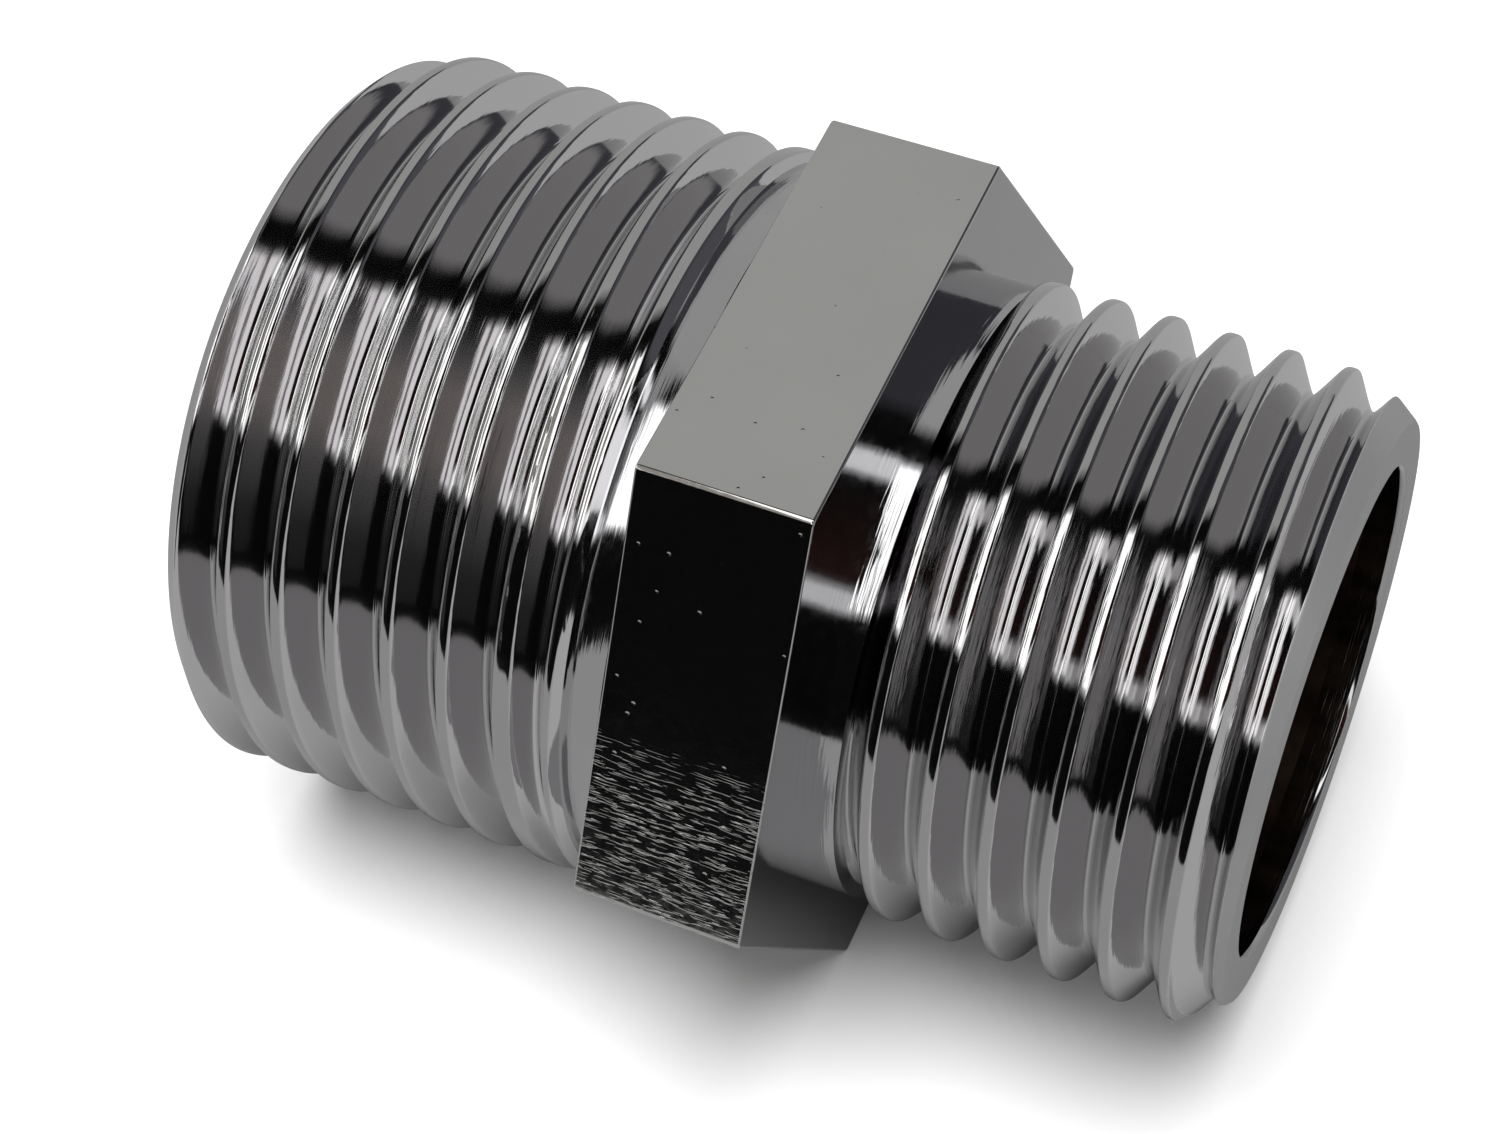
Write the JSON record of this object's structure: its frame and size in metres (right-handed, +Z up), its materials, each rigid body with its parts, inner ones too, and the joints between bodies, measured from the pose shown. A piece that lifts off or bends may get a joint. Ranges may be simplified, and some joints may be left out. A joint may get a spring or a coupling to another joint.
{
  "type": "hex nipple",
  "caption": "Reducing hex nipple: a chrome-plated straight connector with a large and a small male thread either side of a hexagonal spanner collar, bored right through.",
  "frame": {"origin": "on the bore axis, halfway between the two end faces", "axes": "+X along the bore axis, from the large thread towards the small one; +Z up, square to one flat of the hexagon, which the nipple lies on; +Y to the back"},
  "size_m": [0.036, 0.03, 0.026],
  "materials": {
    "chrome_hexagon": "dark mirror chrome plating, with fine scratches along the axis",
    "chrome_neck": "dark mirror chrome plating",
    "chrome_thread": "dark mirror chrome plating over cut threads"
  },
  "bodies": {
    "root": {"hex_collar": "chrome_hexagon", "large_neck": "chrome_neck", "large_male_thread": "chrome_thread", "small_neck": "chrome_neck", "small_male_thread": "chrome_thread"}
  },
  "joints": []
}
